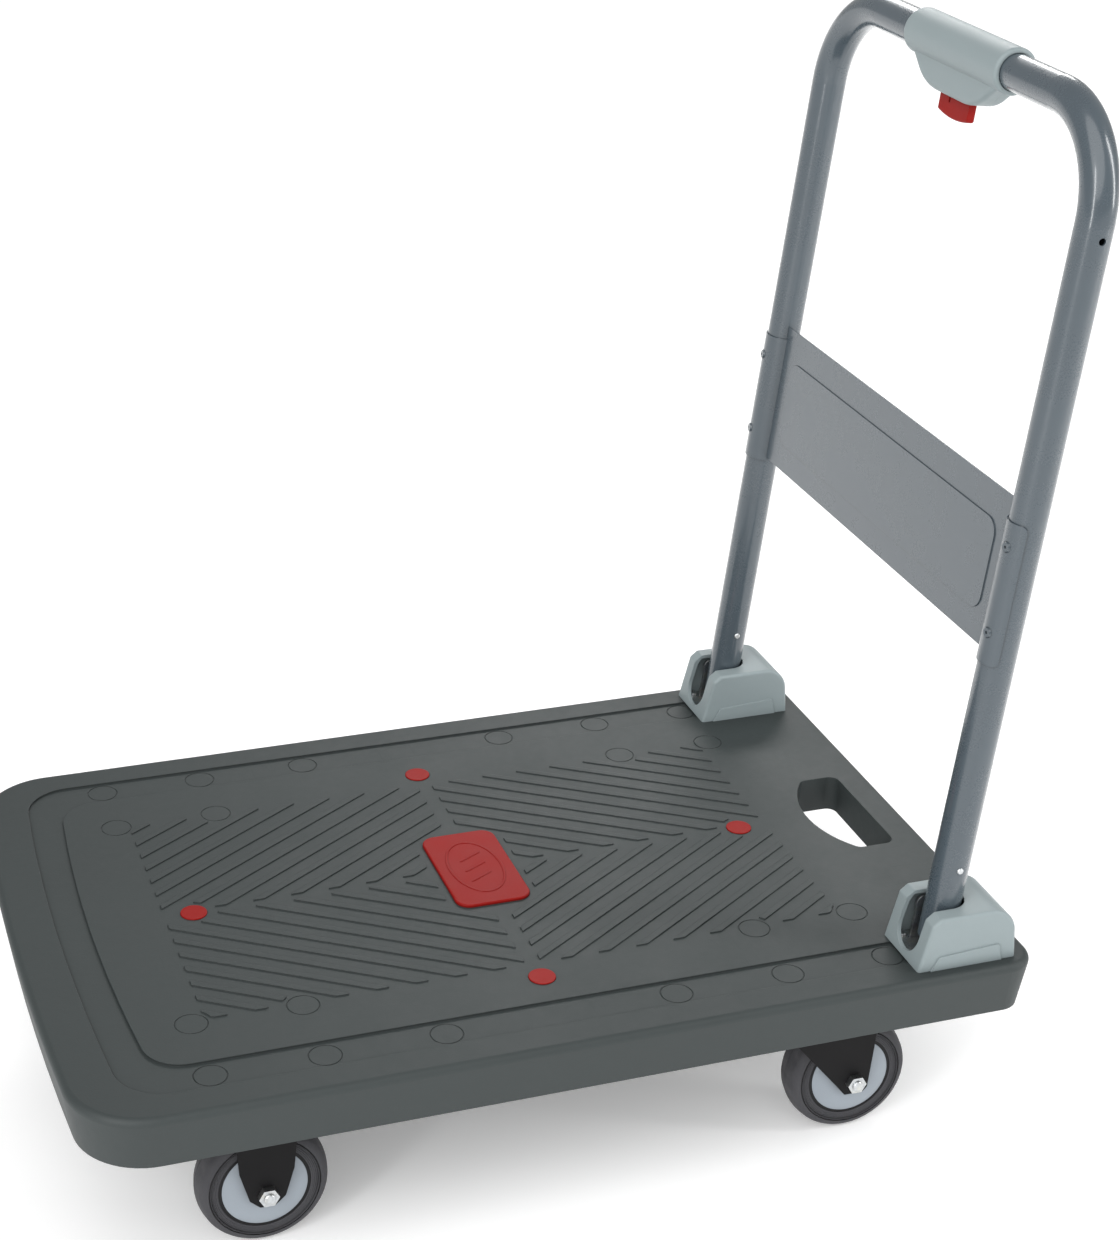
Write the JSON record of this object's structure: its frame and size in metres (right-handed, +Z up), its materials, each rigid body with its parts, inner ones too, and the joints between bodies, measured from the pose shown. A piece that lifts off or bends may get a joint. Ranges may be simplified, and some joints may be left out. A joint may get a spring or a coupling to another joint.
{
  "type": "folding platform cart",
  "caption": "Flat four-wheeled platform cart: moulded deck with raised tread, folding tubular push handle with release grip, rigid front and swivel rear casters.",
  "frame": {"origin": "centre of the whole cart's bounding box, on the floor, with the handle upright", "axes": "+X to the rear, where the handle stands; +Y to the cart's right-hand side; +Z up"},
  "size_m": [0.7317, 0.4782, 0.7978],
  "materials": {
    "deck_plastic": "fine spark texture, satin",
    "red_plastic": "satin moulded",
    "grey_plastic": "satin moulded",
    "coated_steel": "smooth grey powder coat",
    "zinc_steel": "zinc plated",
    "black_steel": "black powder coat",
    "black_plastic": "moulded",
    "tyre_rubber": "grey rubber",
    "cap_plastic": "semi-gloss moulded"
  },
  "bodies": {
    "deck": {"deck": "deck_plastic", "badge_plate": "red_plastic", "deck_dots": "red_plastic", "bracket_screws": "zinc_steel", "caster_bolts": "zinc_steel", "hinge_bracket_left": "zinc_steel", "hinge_bracket_right": "zinc_steel", "hinge_pin_left": "zinc_steel", "hinge_pin_right": "zinc_steel", "socket_housing_left": "grey_plastic", "socket_housing_right": "grey_plastic", "front_fork_left": "black_steel", "front_fork_right": "black_steel", "axle_bolt_front_left": "zinc_steel", "axle_bolt_front_right": "zinc_steel", "axle_sleeve_front_left": "zinc_steel", "axle_sleeve_front_right": "zinc_steel", "swivel_plate_left": "black_steel", "swivel_plate_right": "black_steel", "kingpin_left": "zinc_steel", "kingpin_right": "zinc_steel"},
    "handle": {"handle_tube": "coated_steel", "cross_panel": "coated_steel", "panel_rivets": "coated_steel", "grip_front": "grey_plastic", "grip_rear": "grey_plastic", "grip_screws": "zinc_steel", "hinge_bush_left": "black_plastic", "hinge_bush_right": "black_plastic", "spring_seat_left": "black_plastic", "spring_seat_right": "black_plastic", "latch_spring_left": "zinc_steel", "latch_spring_right": "zinc_steel", "guide_rivet_left": "zinc_steel", "guide_rivet_right": "zinc_steel"},
    "release_trigger": {"release_trigger": "red_plastic"},
    "latch_left": {"latch_plunger_left": "black_plastic", "pull_rod_left": "zinc_steel"},
    "swivel_left": {"rear_fork_left": "black_steel", "axle_bolt_rear_left": "zinc_steel", "axle_sleeve_rear_left": "zinc_steel"},
    "wheel_front_left": {"tyre_front_left": "tyre_rubber", "wheel_rim_front_left": "black_plastic", "wheel_caps_front_left": "cap_plastic"},
    "wheel_rear_left": {"tyre_rear_left": "tyre_rubber", "wheel_rim_rear_left": "black_plastic", "wheel_caps_rear_left": "cap_plastic"},
    "latch_right": {"latch_plunger_right": "black_plastic", "pull_rod_right": "zinc_steel"},
    "swivel_right": {"rear_fork_right": "black_steel", "axle_bolt_rear_right": "zinc_steel", "axle_sleeve_rear_right": "zinc_steel"},
    "wheel_front_right": {"tyre_front_right": "tyre_rubber", "wheel_rim_front_right": "black_plastic", "wheel_caps_front_right": "cap_plastic"},
    "wheel_rear_right": {"tyre_rear_right": "tyre_rubber", "wheel_rim_rear_right": "black_plastic", "wheel_caps_rear_right": "cap_plastic"}
  },
  "joints": [
    {"name": "handle_fold", "type": "hinge", "parent": "deck", "child": "handle", "pos_m": [0.28224, 0, 0.1865], "axis": [0, 1, 0], "range_deg": [-96.4, 0]},
    {"name": "trigger_pull", "type": "slide", "parent": "handle", "child": "release_trigger", "axis": [0.1115, 0, 0.9938], "range_m": [0, 0.008], "stiffness_N_per_m": 1200, "springref_m": -0.006},
    {"name": "latch_lift_left", "type": "slide", "parent": "handle", "child": "latch_left", "axis": [0.1115, 0, 0.9938], "range_m": [0, 0.008], "deforming": ["latch_spring_left"]},
    {"name": "latch_lift_right", "type": "slide", "parent": "handle", "child": "latch_right", "axis": [0.1115, 0, 0.9938], "range_m": [0, 0.008], "deforming": ["latch_spring_right"]},
    {"name": "caster_swivel_left", "type": "hinge", "parent": "deck", "child": "swivel_left", "pos_m": [0.20424, -0.169, 0.1035], "axis": [0, 0, 1], "continuous": true},
    {"name": "wheel_spin_front_left", "type": "hinge", "parent": "deck", "child": "wheel_front_left", "pos_m": [-0.22176, -0.169, 0.048], "axis": [0, 1, 0], "continuous": true},
    {"name": "wheel_spin_rear_left", "type": "hinge", "parent": "swivel_left", "child": "wheel_rear_left", "pos_m": [0.23174, -0.169, 0.048], "axis": [0, 1, 0], "continuous": true},
    {"name": "caster_swivel_right", "type": "hinge", "parent": "deck", "child": "swivel_right", "pos_m": [0.20424, 0.169, 0.1035], "axis": [0, 0, 1], "continuous": true},
    {"name": "wheel_spin_front_right", "type": "hinge", "parent": "deck", "child": "wheel_front_right", "pos_m": [-0.22176, 0.169, 0.048], "axis": [0, 1, 0], "continuous": true},
    {"name": "wheel_spin_rear_right", "type": "hinge", "parent": "swivel_right", "child": "wheel_rear_right", "pos_m": [0.23174, 0.169, 0.048], "axis": [0, 1, 0], "continuous": true}
  ],
  "couplings": [
    {"joint": "latch_lift_left", "follows": "trigger_pull", "ratio": 1},
    {"joint": "latch_lift_right", "follows": "trigger_pull", "ratio": 1}
  ]
}
